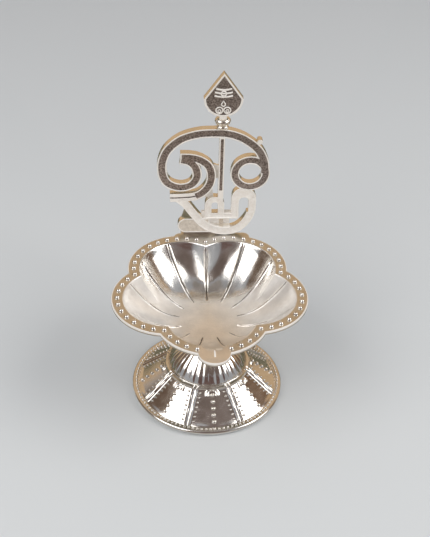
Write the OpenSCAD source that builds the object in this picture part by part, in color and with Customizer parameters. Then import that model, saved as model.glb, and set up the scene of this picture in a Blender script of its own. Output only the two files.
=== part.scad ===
// Small oil lamp on a ribbed foot: a fluted knop carries a bowl of five petals with a wick spout,
// and an openwork crest with a spear stands on a ledge at the back of the bowl.
// Millimetres. The origin is the middle of the foot on the ground, the spout points to -Y.

/* [Foot] */
// Radius of the foot at its rim
foot_r = 26.4; // [24:0.1:29]
// Height of the top of the foot above the ground
foot_h = 11.2; // [9.5:0.1:13]
// Radius of the bead ring round the top of the foot
foot_top_r = 13.9; // [13:0.1:15]
// Wall of the skirt
foot_wall = 1.0; // [0.8:0.1:1.4]
// Width of the flat rim outside the panels
foot_flange_w = 2.2; // [1.6:0.1:3]
// Thickness of that rim
foot_flange_t = 1.2; // [0.8:0.1:1.6]
// Thickness of the web that closes the top of the skirt
web_t = 1.6; // [1.2:0.1:2]
// Panels round the skirt
panels = 8; // [6:1:10]
// Turn of the front panel away from the spout, in degrees
panel_turn = 3.4; // [0:0.1:10]
// Diameter of a raised rib
rib_d = 0.9; // [0.6:0.1:1.2]
// Distance between the two ribs of a pair
rib_pitch = 1.3; // [1:0.1:1.8]
// Diameter of the large beads down the middle of a panel
panel_bead_d = 1.4; // [0.8:0.1:1.8]
// Large beads in a panel
panel_beads = 5; // [3:1:6]

/* [Base plate] */
// Radius of the plate under the foot
plate_r = 25.3; // [23:0.1:27]
// Thickness of the plate
plate_t = 1.0; // [0.8:0.1:1.4]
// Height of the ring on the plate that centres the foot
spigot_h = 1.2; // [0.8:0.1:2]
// Wall of that ring
spigot_wall = 1.2; // [0.8:0.1:2]
// Clearance between that ring and the foot
spigot_clearance = 0.1; // [0.05:0.05:0.3]

/* [Knop] */
// Widest radius of the knop
knop_r = 13.4; // [12:0.1:13.6]
// Height of the knop
knop_h = 10.3; // [9:0.1:12]
// Radius of the collar on top of the knop
knop_top_r = 5.6; // [5.2:0.1:7]
// Flutes round the knop
flutes = 32; // [24:2:36]
// Depth of a flute
flute_depth = 0.4; // [0.3:0.05:0.8]
// Wall of the knop
knop_wall = 1.3; // [1:0.1:1.6]

/* [Bowl] */
// Distance of the middle of each petal circle from the axis
petal_off = 14.5; // [13.5:0.1:15.5]
// Radius of each petal circle
petal_r = 18.6; // [18:0.1:20]
// Width of the flat beaded rim
rim_w = 3.9; // [3.4:0.1:4.4]
// Thickness of the rim
rim_t = 1.3; // [1:0.1:1.8]
// Depth of the bowl from the rim to its floor
bowl_depth = 13.4; // [11:0.1:16]
// Radius of the flat floor
floor_r = 9.4; // [8.6:0.1:11]
// Wall and floor thickness
bowl_wall = 1.3; // [1:0.1:1.6]
// Height of the neck between knop and bowl
neck_h = 7.0; // [6:0.1:9]
// Radius of the neck
neck_r = 4.8; // [4.4:0.1:5.1]
// Radius of the fillet between neck and bowl
neck_fillet = 3.2; // [2:0.1:4]
// Radial ribs inside the bowl
bowl_ribs = 13; // [9:2:15]
// Height of a rib inside the bowl
bowl_rib_h = 0.5; // [0.3:0.1:0.8]
// Diameter of a bead on the rim
rim_bead_d = 1.7; // [1.2:0.1:1.9]
// Distance of the beads from the outer edge of the rim
rim_bead_inset = 2.0; // [1.7:0.1:2.2]
// Bead steps along one petal
beads_per_petal = 11; // [9:2:13]
// Radius of the tip of the spout
spout_r = 5.1; // [4.5:0.1:6]
// Distance of the middle of that tip from the axis
spout_reach = 32.1; // [31:0.1:34]
// Depth of the wick groove in the spout
groove_depth = 0.6; // [0.3:0.1:0.8]
// Radius of the wick groove
groove_r = 5.0; // [4:0.1:8]

/* [Rear ledge] */
// Width of the ledge behind the bead row
ledge_w = 27; // [24:0.5:29]
// Shift of the ledge to the right
ledge_shift = 2.3; // [1:0.1:3]
// Distance of the rear edge of the ledge from the axis
ledge_reach = 31.9; // [31.4:0.1:32.4]
// Width of the deep part that carries the foot bar
ledge_deep_w = 18; // [17:0.5:19]
// Shift of the deep part and the foot bar to the right
bar_shift = 0.5; // [0:0.1:1]
// Width of the ledge that shows behind the foot bar
ledge_spare = 1.0; // [0.8:0.1:1.8]
// Thickness of the ledge
ledge_t = 2.0; // [1.6:0.1:2.4]

/* [Crest] */
// Distance of the front face of the crest from the axis
crest_y = 30.2; // [30:0.1:31]
// Thickness of the crest
crest_t = 2.6; // [2:0.1:2.8]
// Width over the loops
crest_w = 37.4; // [34:0.1:41]
// Height of the loops above the rim
crest_h = 42.6; // [39:0.1:46]
// Distance of the left edge of the loops from the axis
crest_left = 16.4; // [15:0.1:18]
// Width of the loop strokes
stroke_w = 3.2; // [2.6:0.1:3.4]
// Width of the strokes in the lower half
lower_stroke_w = 3.0; // [2.4:0.1:3.2]
// Width of the bright edge beside the sunk face of a stroke
stroke_lip = 0.45; // [0.3:0.05:0.6]
// Depth of the sunk face
sunk_depth = 0.45; // [0.2:0.05:0.7]
// Depth of the faces of the strokes in the lower half
lower_sunk_depth = 0.25; // [0.15:0.05:0.4]
// Outer radius of the round eye on the right
eye_r = 6.8; // [6.2:0.1:7.4]
// Radius of the hole in that eye
eye_hole_r = 3.8; // [3.2:0.1:4.2]
// Thickness of the thin webs at the back of the crest
web_back_t = 0.9; // [0.6:0.1:1.2]
// Height of the foot bar behind the crest
bar_h = 4.2; // [4:0.1:5]
// Width of the foot bar
bar_w = 16; // [14:0.5:16.5]
// Depth of the foot bar behind the front face of the crest
bar_reach = 5.5; // [5.3:0.1:6]

/* [Spear] */
// Width of the spear head
head_w = 12.9; // [11:0.1:14]
// Height of the spear head above its widest place
head_point_h = 9.1; // [8:0.1:10]
// Height of the widest place above the loops
head_rise = 11.2; // [10.8:0.1:13]
// Width of the shaft
shaft_w = 1.9; // [1.5:0.1:2.4]
// Radius of the turned collar under the head
collar_r = 2.7; // [2.3:0.1:3]
// Radius of the rounding of that collar
collar_round_r = 1.15; // [0.9:0.05:1.15]

/* [Fasteners] */
// Shank diameter of the stem bolt
bolt_d = 4.0; // [3:0.1:4.4]
// Head diameter of the stem bolt
bolt_head_d = 7.0; // [6:0.1:8]
// Head height of the stem bolt
bolt_head_h = 2.4; // [1.8:0.1:2.6]
// Length of its shank
bolt_length = 14; // [13:0.5:14.5]
// Outer diameter of the flat washer
washer_d = 9.0; // [8.4:0.1:10]
// Thickness of the flat washer
washer_t = 0.8; // [0.5:0.1:1]
// Thickness of the spring washer
spring_washer_t = 1.0; // [0.8:0.1:1.1]
// Shank diameter of the crest screws
screw_d = 2.0; // [1.6:0.1:2.1]
// Length of their shank
screw_length = 5.6; // [5.4:0.1:6]
// Distance between the two crest screws
screw_pitch = 10.2; // [9:0.1:10.6]
// Clearance round a shank in its hole
hole_clearance = 0.05; // [0.05:0.05:0.1]

/* [Hidden] */
$fn = 64;

// One overrun for every cut
over = 0.5;

// Heights of the stack, from the ground up
flange_top = plate_t + foot_flange_t;
web_z = foot_h - web_t;
knop_top = foot_h + knop_h;
under_z = knop_top + neck_h;
floor_z = under_z + bowl_wall;
rim_z = floor_z + bowl_depth;

// Skirt of the foot
panel_edge_r = foot_r - foot_flange_w;
skirt_run = panel_edge_r - foot_top_r;
skirt_rise = foot_h - flange_top;
skirt_slope = atan2(skirt_rise, skirt_run);
skirt_length = norm([skirt_run, skirt_rise]);
skirt_drop = foot_wall / cos(skirt_slope);
spigot_r = panel_edge_r - foot_wall - spigot_clearance;
top_ring_d = 0.9;
seat_gap = 0.05;
bevel = rib_d * 0.33;
skirt_seam = 90 / panels - 90 + panel_turn;

// Post of the bowl inside the knop
post_r = 3.6;
post_clearance = 0.15;
post_gap = 0.2;
bore_spare = 1.0;

// Wall of the bowl
inner_r = petal_r - rim_w;
lip_overhang = 0.15;
lip_t = 0.5;
lip_drop = 0.2;
wall_curve = 2;
columns_per_rib = 10;
wall_steps = 7;
ledge_corner_r = 2.5;
deep_corner_r = 2.0;
ledge_lap_share = 0.25;
bare_share = 0.8;
fillet_share = 0.85;

// The deep part of the ledge ends behind the foot bar
ledge_deep_reach = crest_y + bar_reach + ledge_spare;

// Crest screws
screw_y = crest_y + crest_t + screw_d / 2;
screw_head_d = 3.8;
screw_head_h = 1.2;
screw_washer_d = 4.6;
screw_washer_t = 0.4;
screw_tip_spare = 0.3;
wide_hole_d = bolt_d + 4 * hole_clearance;
slot_w_share = 0.2;
slot_depth_share = 0.4;
spring_gap_share = 0.12;

// Point in the crest from shares of its width and height
function crest_at(share) = [share[0] * crest_w - crest_left, rim_z + share[1] * crest_h];

// Hand-chosen shares of the crest's width and height along the middle of each stroke
arch_shares = [
    [0.970, 0.600], [0.966, 0.690], [0.925, 0.785], [0.875, 0.840], [0.810, 0.888],
    [0.735, 0.928], [0.625, 0.960], [0.490, 0.967], [0.350, 0.957], [0.205, 0.912],
    [0.095, 0.827], [0.045, 0.735], [0.033, 0.650], [0.050, 0.563], [0.100, 0.503],
    [0.195, 0.472], [0.293, 0.490], [0.347, 0.550], [0.353, 0.612], [0.328, 0.672],
    [0.275, 0.713], [0.200, 0.730]
];
hook_shares = [
    [0.200, 0.750], [0.295, 0.747], [0.375, 0.727], [0.448, 0.680],
    [0.480, 0.617], [0.484, 0.550], [0.464, 0.486], [0.414, 0.426], [0.345, 0.388],
    [0.240, 0.375], [0.107, 0.372]
];
bend_shares = [
    [0.185, 0.362], [0.250, 0.310], [0.303, 0.244], [0.352, 0.183], [0.406, 0.124],
    [0.476, 0.074], [0.570, 0.044], [0.665, 0.041], [0.750, 0.070], [0.821, 0.138],
    [0.863, 0.225], [0.869, 0.320], [0.866, 0.370]
];
eye_share = [0.840, 0.598];

// Nub outside the arch: its root on the middle of the stroke, the way it points, and how far it
// reaches into the stroke
nub_root_share = [0.872, 0.842];
nub_share = [0.914, 0.886];
nub_r = 0.95;
nub_lap = 0.1044;

// Inner sign: an arch over a slot, on a bar, beside a slotted loop
sign_arch_share = [0.522, 0.298];
sign_arch_r = 3.4;
sign_hole_r = 1.1;
sign_hole_top_share = [0.524, 0.300];
sign_hole_foot_share = 0.221;
bar_low_share = 0.164;
bar_top_share = 0.216;
bar_left_share = 0.430;
bar_right_share = 0.750;
loop_share = [0.791, 0.366];
loop_r = 4.2;
loop_hole_r = 1.7;
loop_hole_share = [0.794, 0.331];
loop_hole_foot_share = 0.230;
loop_leg_w = 2.6;
tab_share = [0.257, 0.099];
tab_r = 2.9;
tab_right_share = 0.480;
pocket_left_share = 0.400;
pocket_right_share = 0.670;
pocket_low_share = 0.055;
post_bar_share = 0.588;
post_bar_w = 1.4;
gusset_shares = [[0.215, 0.160], [0.310, 0.160], [0.258, 0.277]];
side_web_shares = [[0.500, 0.535], [0.560, 0.535], [0.560, 0.652], [0.500, 0.670]];
sign_web_shares = [[0.430, 0.350], [0.510, 0.370], [0.500, 0.430], [0.440, 0.440]];

// Spear
shaft_share = 0.575;
shaft_foot_share = 0.330;
shaft_dark_share = 0.440;
spear_x = shaft_share * crest_w - crest_left;
loops_top = rim_z + crest_h;
head_z = loops_top + head_rise;
collar_drop_share = 1.7;
collar_z = head_z - head_w / 2 - collar_drop_share * collar_round_r;
collar_core_share = 0.85;
collar_foot_share = 0.76;
collar_foot_round_r = 0.65;
collar_neck_w = 2.5;
head_border = 0.7;
tip_border_share = 1.4;

// Polar radius of the petal circles in direction a; a notch between two petals lies at the back
petal_count = 5;
petal_step = 360 / petal_count;
function petal_turn(a) = (a - 90) - petal_step * floor((a - 90) / petal_step) - petal_step / 2;
function petal_edge(a, r) = let (d = petal_turn(a))
    petal_off * cos(d) + sqrt(r * r - pow(petal_off * sin(d), 2));

// Smooth curve through points, with a few steps between each two
curve_steps = 5;
faded_steps = 2 * curve_steps;
hook_line_w = 0.5;
function spline_point(a, b, c, d, t) =
    0.5 * (2 * b + (c - a) * t + (2 * a - 5 * b + 4 * c - d) * t * t + (3 * b - a - 3 * c + d) * t * t * t);
function spline(p) = let (n = len(p) - 1) [
    for (i = [0:n - 1])
        for (s = [0:curve_steps - 1])
            spline_point(p[max(i - 1, 0)], p[i], p[i + 1], p[min(i + 2, n)], s / curve_steps),
    p[n]
];

// Outline of a stroke of one width along a curve
function unit(v) = v / norm(v);
function side(c, i) = let (n = len(c) - 1, v = unit(c[min(i + 1, n)] - c[max(i - 1, 0)])) [-v[1], v[0]];
function stroke_outline(c, w) = concat(
    [for (i = [0:len(c) - 1]) c[i] + side(c, i) * w / 2],
    [for (i = [len(c) - 1:-1:0]) c[i] - side(c, i) * w / 2]
);
function crest_curve(shares) = spline([for (s = shares) crest_at(s)]);
function part_of(c, from_step, to_step) = [for (i = [from_step:to_step]) c[i]];
module stroke(shares, w) { polygon(stroke_outline(crest_curve(shares), w)); }

// The sunk face of a stroke stops a few steps before an end that shows
module sunk_stroke(shares, w, first_skipped, last_skipped) {
    c = crest_curve(shares);
    polygon(stroke_outline(part_of(c, first_skipped, len(c) - 1 - last_skipped), w - 2 * stroke_lip));
}

// Fine line that carries the sunk face of the hook on to its end
module hook_line() {
    c = crest_curve(hook_shares);
    last = len(c) - 1;
    polygon(stroke_outline(part_of(c, last - faded_steps, last), hook_line_w));
}

// Upright box in the crest plane, from one corner to the other
module plane_box(low, high) { translate(low) square(high - low); }

// Crest outlines stand up: the drawing's y becomes z, the front face lies at crest_y
module upright(depth, t) {
    translate([0, crest_y + depth + t, 0]) rotate([90, 0, 0]) linear_extrude(t) children();
}

// Foot
module skirt_profile() {
    polygon([
        [foot_r, plate_t],
        [foot_r, flange_top - bevel],
        [foot_r - bevel, flange_top],
        [panel_edge_r, flange_top],
        [foot_top_r, foot_h],
        [0, foot_h],
        [0, web_z],
        [foot_top_r - foot_wall, web_z],
        [foot_top_r, foot_h - skirt_drop],
        [panel_edge_r - foot_wall, flange_top - bevel],
        [panel_edge_r - foot_wall, plate_t]
    ]);
}

// Something laid along the slope of the skirt, at a share of its length from the lower edge
module on_skirt(along) {
    translate([panel_edge_r - skirt_run * along, 0, flange_top + skirt_rise * along])
        children();
}

module rib() {
    on_skirt(0) rotate([0, skirt_slope - 90, 0]) cylinder(d = rib_d, h = skirt_length, $fn = 24);
    on_skirt(0) sphere(d = rib_d, $fn = 24);
}

module foot() color("silver") {
    difference() {
        union() {
            rotate([0, 0, skirt_seam]) rotate_extrude($fn = 96) skirt_profile();
            translate([0, 0, foot_h]) rotate([0, 0, skirt_seam]) rotate_extrude($fn = 96)
                translate([foot_top_r - top_ring_d / 2, 0]) circle(d = top_ring_d, $fn = 24);
            for (i = [0:panels - 1]) rotate([0, 0, 360 / panels * i - 90 + panel_turn]) {
                for (k = [0:panel_beads - 1]) on_skirt((k + 1) / (panel_beads + 1))
                    sphere(d = panel_bead_d, $fn = 24);
                rotate([0, 0, 180 / panels]) for (s = [-1, 1]) translate([0, s * rib_pitch / 2, 0]) rib();
            }
        }
        translate([0, 0, web_z - over]) cylinder(d = wide_hole_d, h = web_t + top_ring_d + over);
        // The knop's seat stays flat
        translate([0, 0, foot_h]) cylinder(r = knop_r + seat_gap, h = top_ring_d);
    }
}

// Base plate
module base_plate() color("gainsboro") {
    rotate_extrude($fn = 96) polygon([
        [0, 0],
        [plate_r, 0],
        [plate_r, plate_t],
        [spigot_r, plate_t],
        [spigot_r, plate_t + spigot_h],
        [spigot_r - spigot_wall, plate_t + spigot_h],
        [spigot_r - spigot_wall, plate_t],
        [0, plate_t]
    ]);
}

// Knop: lobes between the flutes shrink towards the collar
knop_rings = 9;
lobe_steps = 4;
knop_columns = flutes * lobe_steps;
knop_collar_h = 1.2;
knop_collar_step = 0.25;
knop_curve = 1.1;
function knop_profile(t) = knop_top_r + (knop_r - knop_top_r) * pow(cos(90 * t), knop_curve);
function knop_point(i, t) = let (
    a = 360 * i / knop_columns,
    r = knop_profile(t),
    lobe = abs(sin(180 * i / lobe_steps)),
    cut = flute_depth * (1 - lobe) * (r - knop_top_r) / (knop_r - knop_top_r)
) [(r - cut) * cos(a), (r - cut) * sin(a), foot_h + (knop_h - knop_collar_h) * t];
knop_points = concat(
    [[0, 0, foot_h], [0, 0, knop_top - knop_collar_h]],
    [for (k = [0:knop_rings]) for (i = [0:knop_columns - 1]) knop_point(i, k / knop_rings)]
);
function ring_index(k, i, n) = 2 + k * n + i % n;
function knop_index(k, i) = ring_index(k, i, knop_columns);
knop_faces = concat(
    [for (i = [0:knop_columns - 1]) [0, knop_index(0, i), knop_index(0, i + 1)]],
    [for (i = [0:knop_columns - 1]) [1, knop_index(knop_rings, i + 1), knop_index(knop_rings, i)]],
    [for (k = [0:knop_rings - 1]) for (i = [0:knop_columns - 1]) each [
        [knop_index(k, i), knop_index(k + 1, i), knop_index(k + 1, i + 1)],
        [knop_index(k, i), knop_index(k + 1, i + 1), knop_index(k, i + 1)]
    ]]
);

module knop() color("lightgray") {
    inner_r0 = knop_r - flute_depth - knop_wall;
    inner_h = knop_h - knop_collar_h - knop_wall;
    difference() {
        union() {
            polyhedron(knop_points, knop_faces);
            translate([0, 0, knop_top - knop_collar_h - knop_wall / 2])
                cylinder(r = knop_top_r - knop_collar_step, h = knop_collar_h + knop_wall / 2);
        }
        // Hollow with sloping sides under the dome
        rotate_extrude() polygon([
            [0, foot_h - over],
            [inner_r0, foot_h - over],
            [inner_r0, foot_h],
            [(inner_r0 + knop_top_r) / 2 + knop_wall, foot_h + inner_h / 2],
            [post_r + knop_wall, foot_h + inner_h],
            [0, foot_h + inner_h]
        ]);
        translate([0, 0, foot_h]) cylinder(r = post_r + post_clearance, h = knop_h + over);
    }
}

// Bowl: wall as a parabola from the floor to a short collar inside the rim plate, with raised ribs
bowl_columns = bowl_ribs * columns_per_rib;
wall_top_z = rim_z - lip_t;
wall_end_z = rim_z - rim_t - lip_drop;
wall_rise = wall_end_z - floor_z;
function wall_run(a) = petal_edge(a, inner_r) + lip_overhang - floor_r;
function wall_inner(a, t) = [floor_r + wall_run(a) * t, floor_z + wall_rise * pow(t, wall_curve)];
function wall_normal(a, t) = unit([-wall_rise * wall_curve * pow(t, wall_curve - 1), wall_run(a)]);
function around(a, rz) = [rz[0] * cos(a), rz[0] * sin(a), rz[1]];
function bowl_angle(i) = 90 + 360 * i / bowl_columns;
function rib_lift(i, t) = i % columns_per_rib == 0 && t > 0 && t < 1 ? bowl_rib_h : 0;
function inside_point(i, t) = let (a = bowl_angle(i))
    around(a, wall_inner(a, t) + wall_normal(a, t) * rib_lift(i, t));
function outside_point(i, t) = let (a = bowl_angle(i))
    around(a, wall_inner(a, t) - wall_normal(a, t) * bowl_wall);
function collar_point(i, wall, z) = let (a = bowl_angle(i)) around(a, [wall_inner(a, 1)[0] + wall, z]);
bowl_points = concat(
    [[0, 0, floor_z], [0, 0, under_z]],
    [for (k = [0:wall_steps]) for (i = [0:bowl_columns - 1]) inside_point(i, k / wall_steps)],
    [for (i = [0:bowl_columns - 1]) collar_point(i, 0, wall_top_z)],
    [for (i = [0:bowl_columns - 1]) collar_point(i, bowl_wall, wall_top_z)],
    [for (i = [0:bowl_columns - 1]) collar_point(i, bowl_wall, wall_end_z)],
    [for (k = [wall_steps - 1:-1:0]) for (i = [0:bowl_columns - 1]) outside_point(i, k / wall_steps)]
);
bowl_last_ring = 2 * wall_steps + 3;
function bowl_index(k, i) = ring_index(k, i, bowl_columns);
bowl_faces = concat(
    [for (i = [0:bowl_columns - 1]) [0, bowl_index(0, i + 1), bowl_index(0, i)]],
    [for (i = [0:bowl_columns - 1]) [1, bowl_index(bowl_last_ring, i), bowl_index(bowl_last_ring, i + 1)]],
    [for (k = [0:bowl_last_ring - 1]) for (i = [0:bowl_columns - 1]) each [
        [bowl_index(k, i), bowl_index(k + 1, i + 1), bowl_index(k + 1, i)],
        [bowl_index(k, i), bowl_index(k, i + 1), bowl_index(k + 1, i + 1)]
    ]]
);

module petals(r) {
    for (i = [0:petal_count - 1]) rotate(90 + petal_step * (i + 0.5))
        translate([petal_off, 0]) circle(r = r, $fn = 96);
}

module rounded_box(low, high, r) {
    translate(low + [r, 0]) square(high - low - [2 * r, 0]);
    translate(low) square(high - low - [0, r]);
    translate([low[0] + r, high[1] - r]) circle(r = r, $fn = 24);
    translate([high[0] - r, high[1] - r]) circle(r = r, $fn = 24);
}

module spout_outline() {
    translate([0, -spout_reach]) circle(r = spout_r);
    translate([-spout_r, -spout_reach]) square([2 * spout_r, spout_r]);
}

module rim_outline() {
    difference() {
        union() {
            petals(petal_r);
            spout_outline();
            rounded_box([ledge_shift - ledge_w / 2, petal_off], [ledge_shift + ledge_w / 2, ledge_reach],
                        ledge_corner_r);
        }
        petals(inner_r);
        circle(r = petal_off);
    }
}

module ledge_outline() {
    difference() {
        rounded_box([bar_shift - ledge_deep_w / 2, petal_off],
                    [bar_shift + ledge_deep_w / 2, ledge_deep_reach],
                    deep_corner_r);
        petals(petal_r - ledge_lap_share * rim_w);
        circle(r = petal_off);
    }
}

// A bead is left out where it would stand on the spout
module rim_beads() {
    for (i = [0:petal_count * beads_per_petal - 1]) {
        a = 90 + petal_step / beads_per_petal * i;
        r = petal_edge(a, petal_r - rim_bead_inset);
        if (sin(a) > 0 || abs(r * cos(a)) > bare_share * spout_r)
            translate([r * cos(a), r * sin(a), rim_z]) sphere(d = rim_bead_d, $fn = 24);
    }
}

module neck() {
    fillet_top = under_z + bowl_wall / 2;
    rotate_extrude() difference() {
        translate([0, knop_top]) square([neck_r + neck_fillet, fillet_top - knop_top]);
        translate([neck_r + neck_fillet, under_z - fillet_share * neck_fillet]) circle(r = neck_fillet);
        translate([neck_r, knop_top - over]) square([neck_fillet + over, neck_h - neck_fillet + over]);
    }
}

module bowl() color("whitesmoke") {
    difference() {
        union() {
            polyhedron(bowl_points, bowl_faces);
            translate([0, 0, rim_z - rim_t]) linear_extrude(rim_t) rim_outline();
            translate([0, 0, rim_z - ledge_t]) linear_extrude(ledge_t) ledge_outline();
            rim_beads();
            neck();
            translate([0, 0, foot_h + post_gap]) cylinder(r = post_r, h = knop_h);
        }
        translate([0, 0, foot_h]) cylinder(d = bolt_d + 2 * hole_clearance, h = bolt_reach + bore_spare);
        translate([0, -spout_reach, rim_z + groove_r - groove_depth]) rotate([90, 0, 0])
            cylinder(r = groove_r, h = spout_r / 2);
        translate([0, -spout_reach, rim_z + groove_r - groove_depth]) rotate([-90, 0, 0])
            cylinder(r = groove_r, h = spout_reach - petal_off - inner_r + over);
        at_crest_screws() translate([0, 0, rim_z - ledge_t - over])
            cylinder(d = screw_d + 2 * hole_clearance, h = ledge_t + 2 * over, $fn = 32);
    }
}

// Crest
module spear_outline(border) {
    half = head_w / 2 - border;
    translate([spear_x, head_z]) {
        polygon([[-half, 0], [half, 0], [0, head_point_h - tip_border_share * border]]);
        intersection() {
            circle(r = half);
            translate([-half, -half]) square([2 * half, half]);
        }
    }
}

module eye(r) { translate(crest_at(eye_share)) circle(r = r); }

// Small round nub that keeps its hold on the edge of the arch
module nub() {
    root = crest_at(nub_root_share);
    reach = stroke_w / 2 + nub_r - nub_lap;
    translate(root + reach * unit(crest_at(nub_share) - root)) circle(r = nub_r, $fn = 24);
}

// Window under the inner arch, and the slot in the loop beside it
module sign_windows(border) {
    top = crest_at(sign_hole_top_share);
    slot = crest_at(loop_hole_share);
    top_r = sign_hole_r + border;
    slot_r = loop_hole_r + border;
    translate(top) circle(r = top_r, $fn = 32);
    plane_box([top[0] - top_r, rim_z + sign_hole_foot_share * crest_h - border], [top[0] + top_r, top[1]]);
    translate(slot) circle(r = slot_r, $fn = 32);
    plane_box([slot[0] - slot_r, rim_z + loop_hole_foot_share * crest_h - border],
              [slot[0] + slot_r, slot[1]]);
}

module inner_sign(border) {
    arch = crest_at(sign_arch_share);
    loop = crest_at(loop_share);
    arch_r = sign_arch_r - border;
    bar_low = rim_z + bar_low_share * crest_h + border;
    difference() {
        union() {
            translate(arch) circle(r = arch_r);
            plane_box([arch[0] - arch_r, bar_low], [arch[0] + arch_r, arch[1]]);
            plane_box([bar_left_share * crest_w - crest_left + border, bar_low],
                      [bar_right_share * crest_w - crest_left - border,
                       rim_z + bar_top_share * crest_h - border]);
            translate(loop) circle(r = loop_r - border);
            plane_box([loop[0] - loop_r + border, bar_low],
                      [loop[0] - loop_r + loop_leg_w - border, loop[1]]);
        }
        sign_windows(border);
    }
}

module tab(border) {
    middle = crest_at(tab_share);
    r = tab_r - border;
    translate(middle) circle(r = r);
    plane_box(middle - [0, r], [tab_right_share * crest_w - crest_left - border, middle[1] + r]);
}

module spear() {
    plane_box([spear_x - shaft_w / 2, rim_z + shaft_foot_share * crest_h], [spear_x + shaft_w / 2, head_z]);
    plane_box([spear_x - collar_neck_w / 2, loops_top - stroke_w / 2], [spear_x + collar_neck_w / 2, head_z]);
    spear_outline(0);
}

// Round bead on the shaft: a disc with a rounded edge
module shaft_bead(z, r, round_r) {
    core_h = 2 * collar_core_share * round_r;
    translate([spear_x, crest_y + crest_t / 2, z]) rotate_extrude() {
        translate([r - round_r, 0]) circle(r = round_r, $fn = 32);
        translate([0, -core_h / 2]) square([r - round_r, core_h]);
    }
}

module collar() {
    shaft_bead(collar_z, collar_r, collar_round_r);
    shaft_bead(loops_top + collar_foot_round_r, collar_foot_share * collar_r, collar_foot_round_r);
}

// Full-depth outline, without the eye's hole and the inner windows
module crest_outline() {
    difference() {
        union() {
            stroke(arch_shares, stroke_w);
            eye(eye_r);
        }
        eye(eye_hole_r);
    }
    stroke(hook_shares, stroke_w);
    difference() {
        stroke(bend_shares, lower_stroke_w);
        sign_windows(0);
    }
    nub();
    inner_sign(0);
    tab(0);
    spear();
}

// Thin webs at the back, which close the pocket and brace the leg and the shaft
module back_webs() {
    pocket_low = [pocket_left_share * crest_w - crest_left, rim_z + pocket_low_share * crest_h];
    pocket_high = [pocket_right_share * crest_w - crest_left, rim_z + bar_top_share * crest_h];
    upright(crest_t - web_back_t, web_back_t) {
        plane_box(pocket_low, pocket_high);
        polygon([for (s = gusset_shares) crest_at(s)]);
        polygon([for (s = side_web_shares) crest_at(s)]);
        polygon([for (s = sign_web_shares) crest_at(s)]);
    }
}

// Small upright in the pocket between the bar and the bend
module pocket_post() {
    x = post_bar_share * crest_w - crest_left;
    upright(sunk_depth, crest_t - sunk_depth)
        plane_box([x - post_bar_w / 2, rim_z + pocket_low_share * crest_h],
                  [x + post_bar_w / 2, rim_z + bar_top_share * crest_h]);
}

// Sunk faces of the upper strokes and the spear head, inside their bright edges
module sunk_faces() {
    upright(-over, sunk_depth + over) {
        sunk_stroke(arch_shares, stroke_w, 0, 1);
        sunk_stroke(hook_shares, stroke_w, 1, faded_steps);
        hook_line();
        difference() {
            eye(eye_r - stroke_lip);
            eye(eye_hole_r + stroke_lip);
        }
        spear_outline(head_border);
        plane_box([spear_x - shaft_w / 2 + stroke_lip, rim_z + shaft_dark_share * crest_h],
                  [spear_x + shaft_w / 2 - stroke_lip, loops_top - stroke_w - stroke_lip]);
    }
}

// Shallow faces of the lower strokes: the edges of the bend run on across the tab and the sign
module lower_faces() {
    upright(-over, lower_sunk_depth + over) {
        difference() {
            sunk_stroke(bend_shares, lower_stroke_w, 1, 0);
            sign_windows(stroke_lip);
        }
        difference() {
            union() {
                inner_sign(stroke_lip);
                tab(stroke_lip);
            }
            stroke(bend_shares, lower_stroke_w);
        }
    }
}

module foot_bar() {
    translate([bar_shift - bar_w / 2, crest_y + crest_t / 2, rim_z])
        cube([bar_w, bar_reach - crest_t / 2, bar_h]);
}

module crest() color("antiquewhite") {
    difference() {
        union() {
            difference() {
                upright(0, crest_t) crest_outline();
                sunk_faces();
                lower_faces();
            }
            back_webs();
            pocket_post();
            collar();
            foot_bar();
        }
        at_crest_screws() translate([0, 0, rim_z - over])
            cylinder(d = screw_d + 2 * hole_clearance, h = screw_grip + screw_tip_spare + over, $fn = 32);
    }
}

// Fasteners
bolt_head_z = web_z - washer_t - spring_washer_t;
bolt_reach = bolt_head_z + bolt_length - foot_h;
screw_head_z = rim_z - ledge_t - screw_washer_t;
screw_grip = screw_head_z + screw_length - rim_z;

module at_crest_screws() {
    for (s = [-1, 1]) translate([bar_shift + s * screw_pitch / 2, screw_y, 0]) children();
}

// Slotted head under the shank, at the origin
module slotted_screw(d, length, head_d, head_h) {
    cylinder(d = d, h = length, $fn = 32);
    difference() {
        translate([0, 0, -head_h]) cylinder(d = head_d, h = head_h);
        translate([-head_d / 2 - over, -head_d * slot_w_share / 2, -head_h - over])
            cube([head_d + 2 * over, head_d * slot_w_share, head_h * slot_depth_share + over]);
    }
}

module ring_washer(outer_d, inner_d, t) {
    difference() {
        cylinder(d = outer_d, h = t);
        translate([0, 0, -over]) cylinder(d = inner_d, h = t + 2 * over);
    }
}

module stem_bolt() color("dimgray") {
    translate([0, 0, bolt_head_z]) slotted_screw(bolt_d, bolt_length, bolt_head_d, bolt_head_h);
}

module spring_washer() color("gray") {
    gap = bolt_d * spring_gap_share;
    translate([0, 0, bolt_head_z]) difference() {
        ring_washer(bolt_head_d, wide_hole_d, spring_washer_t);
        translate([0, -gap / 2, -over]) cube([bolt_head_d, gap, spring_washer_t + 2 * over]);
    }
}

module flat_washer() color("darkgray") {
    translate([0, 0, web_z - washer_t]) ring_washer(washer_d, wide_hole_d, washer_t);
}

module crest_screws() color("dimgray") {
    at_crest_screws() translate([0, 0, screw_head_z])
        slotted_screw(screw_d, screw_length, screw_head_d, screw_head_h);
}

module crest_washers() color("darkgray") {
    at_crest_screws() translate([0, 0, screw_head_z])
        ring_washer(screw_washer_d, screw_d + 2 * hole_clearance, screw_washer_t);
}

foot();
base_plate();
knop();
bowl();
crest();
stem_bolt();
spring_washer();
flat_washer();
crest_screws();
crest_washers();
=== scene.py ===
"""Small footed oil lamp: petal bowl with a wick spout, fluted knop, ribbed foot and openwork crest."""

import math

import bmesh
import bpy
from mathutils import Matrix, Vector


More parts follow.
